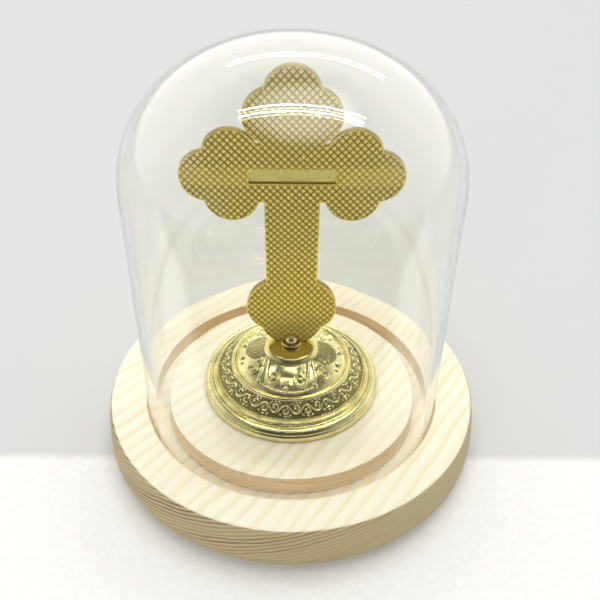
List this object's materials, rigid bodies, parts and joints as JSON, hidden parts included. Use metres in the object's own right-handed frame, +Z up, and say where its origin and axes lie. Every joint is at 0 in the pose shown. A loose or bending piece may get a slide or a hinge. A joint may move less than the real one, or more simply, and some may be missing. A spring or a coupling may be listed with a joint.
{
  "type": "display cloche with cross",
  "caption": "Glass bell cloche on a turned wooden base, over a gilt budded cross on a round ornamented foot.",
  "frame": {"origin": "bottom centre of the wooden base", "axes": "+Z up; the cross's knurled back faces -Y; +X to the right seen from -Y"},
  "size_m": [0.13, 0.13, 0.1408],
  "materials": {
    "pine": "satin",
    "clear_glass": "gloss",
    "foot_gold": "polished",
    "cap_gold": "polished",
    "collar_gold": "polished",
    "ball_gold": "polished",
    "cross_gold": "satin",
    "strip_gold": "satin",
    "washer_steel": "satin",
    "nut_steel": "satin"
  },
  "bodies": {
    "base": {"wooden_base": "pine"},
    "dome": {"glass_dome": "clear_glass"},
    "cross_stand": {"foot_shell": "foot_gold", "foot_cap": "cap_gold", "collar_ring": "collar_gold", "ball_knop": "ball_gold", "cross_plate": "cross_gold", "slot_strip": "strip_gold", "stem_washer": "washer_steel", "stem_nut": "nut_steel"}
  },
  "joints": [
    {"name": "dome_lift", "type": "slide", "parent": "base", "child": "dome", "axis": [0, 0, 1], "range_m": [0, 0.13]},
    {"name": "stand_turn", "type": "hinge", "parent": "base", "child": "cross_stand", "pos_m": [-0.0002, 0.0029, 0.0203], "axis": [0, 0, 1], "continuous": true}
  ]
}
